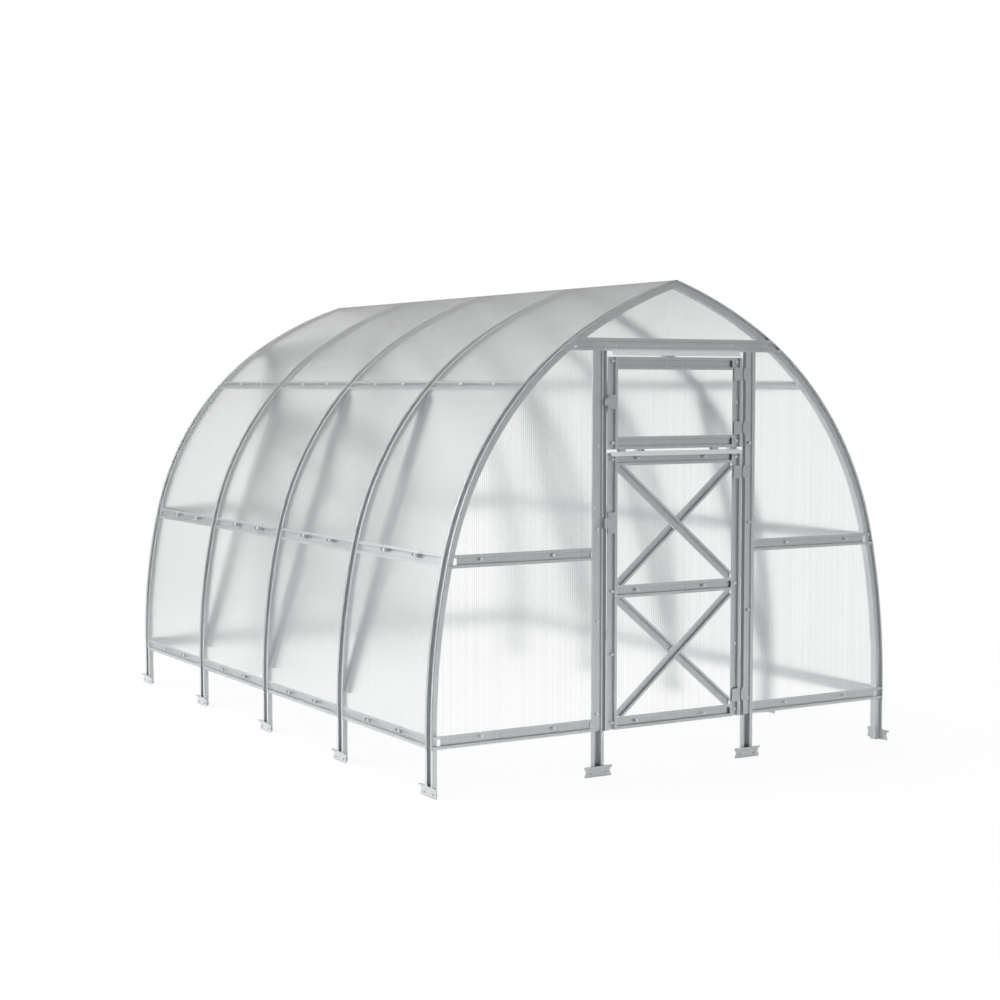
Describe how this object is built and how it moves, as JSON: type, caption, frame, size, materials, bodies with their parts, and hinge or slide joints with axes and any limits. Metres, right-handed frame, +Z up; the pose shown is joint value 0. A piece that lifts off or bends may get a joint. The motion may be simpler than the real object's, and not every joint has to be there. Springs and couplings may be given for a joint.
{
  "type": "arched greenhouse with a hinged door",
  "caption": "Pointed-arch greenhouse of galvanised hat-section steel with twin-wall sheets, a hinged braced door and a window sash in the gable.",
  "frame": {"origin": "on the ground at the middle of the plan, under the ridge", "axes": "+Z up, the front gable with the moving door faces -Y, +X to the right when facing that gable's inside from the front"},
  "size_m": [2.962, 4.173, 2.5769],
  "materials": {
    "galvanised_steel": "matt galvanised",
    "folded_steel": "bright galvanised",
    "zinc_fittings": "zinc plated",
    "twin_wall_sheet": "clear ribbed sheet",
    "rubber_strip": "matt"
  },
  "bodies": {
    "frame": {"arch_front": "galvanised_steel", "arch_second": "galvanised_steel", "arch_middle": "galvanised_steel", "arch_fourth": "galvanised_steel", "arch_rear": "galvanised_steel", "base_rails": "galvanised_steel", "mid_purlins": "galvanised_steel", "upper_purlins": "galvanised_steel", "arch_struts": "galvanised_steel", "leg_feet": "galvanised_steel", "front_posts": "galvanised_steel", "rear_posts": "galvanised_steel", "front_post_feet": "galvanised_steel", "rear_post_feet": "galvanised_steel", "front_side_rails": "galvanised_steel", "rear_side_rails": "galvanised_steel", "front_cross_bar": "galvanised_steel", "rear_cross_bar": "galvanised_steel", "sash_stiles": "galvanised_steel", "sash_rails": "galvanised_steel", "rear_leaf_stiles": "galvanised_steel", "rear_leaf_rails": "galvanised_steel", "rear_door_braces": "galvanised_steel", "sash_strip": "folded_steel", "rear_rain_strips": "folded_steel", "sash_hinges": "zinc_fittings", "sash_latch": "zinc_fittings", "door_hinge_posts": "zinc_fittings", "rear_hinges": "zinc_fittings", "rear_latches": "zinc_fittings", "roof_sheet_left_front": "twin_wall_sheet", "roof_sheet_left_rear": "twin_wall_sheet", "roof_sheet_right_front": "twin_wall_sheet", "roof_sheet_right_rear": "twin_wall_sheet", "front_side_sheets": "twin_wall_sheet", "rear_side_sheets": "twin_wall_sheet", "front_top_sheet": "twin_wall_sheet", "rear_top_sheet": "twin_wall_sheet", "sash_sheet": "twin_wall_sheet", "rear_leaf_sheets": "twin_wall_sheet", "front_stop_strips": "rubber_strip", "rear_stop_strips": "rubber_strip"},
    "door": {"door_stiles": "galvanised_steel", "door_rails": "galvanised_steel", "door_braces": "galvanised_steel", "door_sheet": "twin_wall_sheet", "door_strip": "folded_steel", "door_latch": "zinc_fittings", "door_hinge_leaves": "zinc_fittings"}
  },
  "joints": [
    {"name": "door_hinge", "type": "hinge", "parent": "frame", "child": "door", "pos_m": [0.4435, -2.047, 0.956], "axis": [0, 0, 1], "range_deg": [0, 110]}
  ]
}
